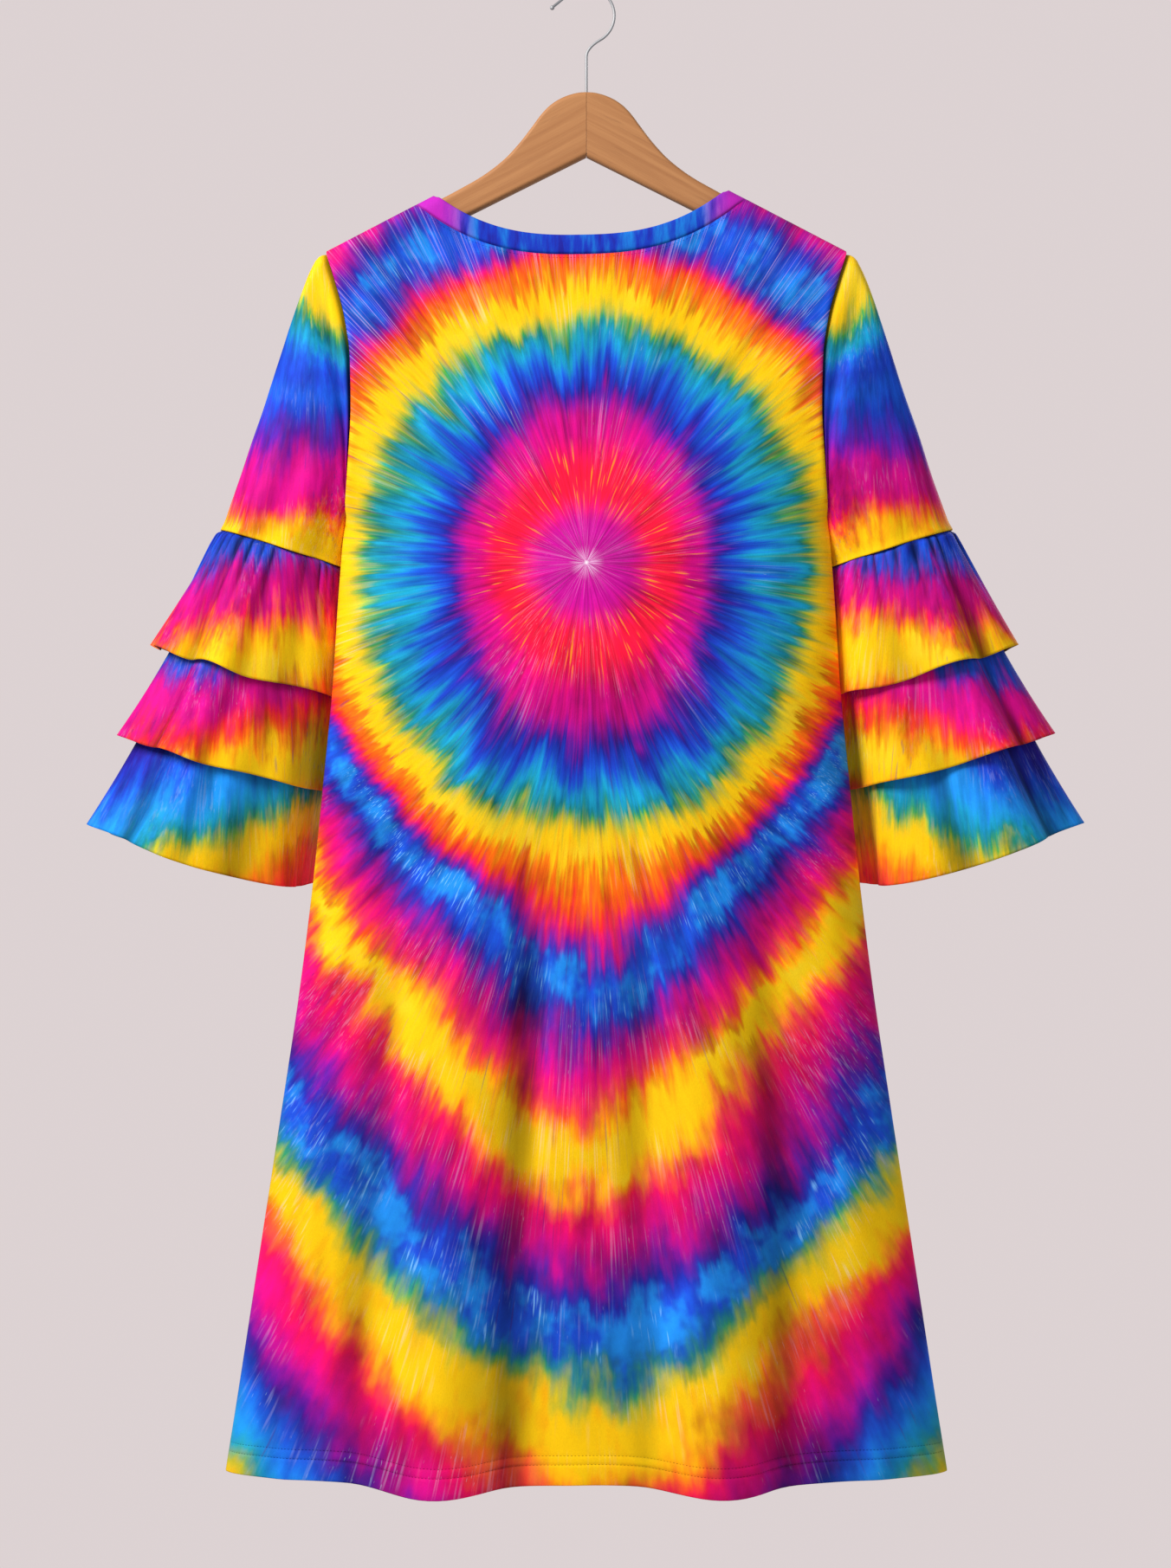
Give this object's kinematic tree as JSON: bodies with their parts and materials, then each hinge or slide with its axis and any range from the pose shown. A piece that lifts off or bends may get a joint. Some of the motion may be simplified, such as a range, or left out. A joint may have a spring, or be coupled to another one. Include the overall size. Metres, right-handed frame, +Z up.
{
  "type": "ruffle sleeve dress on a clothes hanger",
  "caption": "A-line knee-length jersey dress with short sleeves that end in tiers of ruffles, hanging open and empty on a flat wooden hanger with a wire hook",
  "frame": {"origin": "the top of the inside of the hook, where a rail or peg carries the hanger", "axes": "+Z up; X across the shoulders; the back of the dress faces -Y and its front faces +Y"},
  "size_m": [0.7908, 0.1997, 1.1723],
  "materials": {
    "jersey": "smooth knitted jersey, tie-dyed in rings and streaks of magenta, red, yellow, green and blue, slight sheen",
    "hanger_wood": "light brown wood under a satin varnish",
    "hook_wire": "bright drawn steel wire with a rounded tip"
  },
  "bodies": {
    "root": {"back_panel": "jersey", "front_panel": "jersey", "neckband": "jersey", "sleeve_left": "jersey", "sleeve_right": "jersey", "ruffle_top_left": "jersey", "ruffle_top_right": "jersey", "ruffle_middle_left": "jersey", "ruffle_middle_right": "jersey", "ruffle_bottom_left": "jersey", "ruffle_bottom_right": "jersey", "hanger_arm_left": "hanger_wood", "hanger_arm_right": "hanger_wood", "hanger_hook": "hook_wire"}
  },
  "joints": []
}
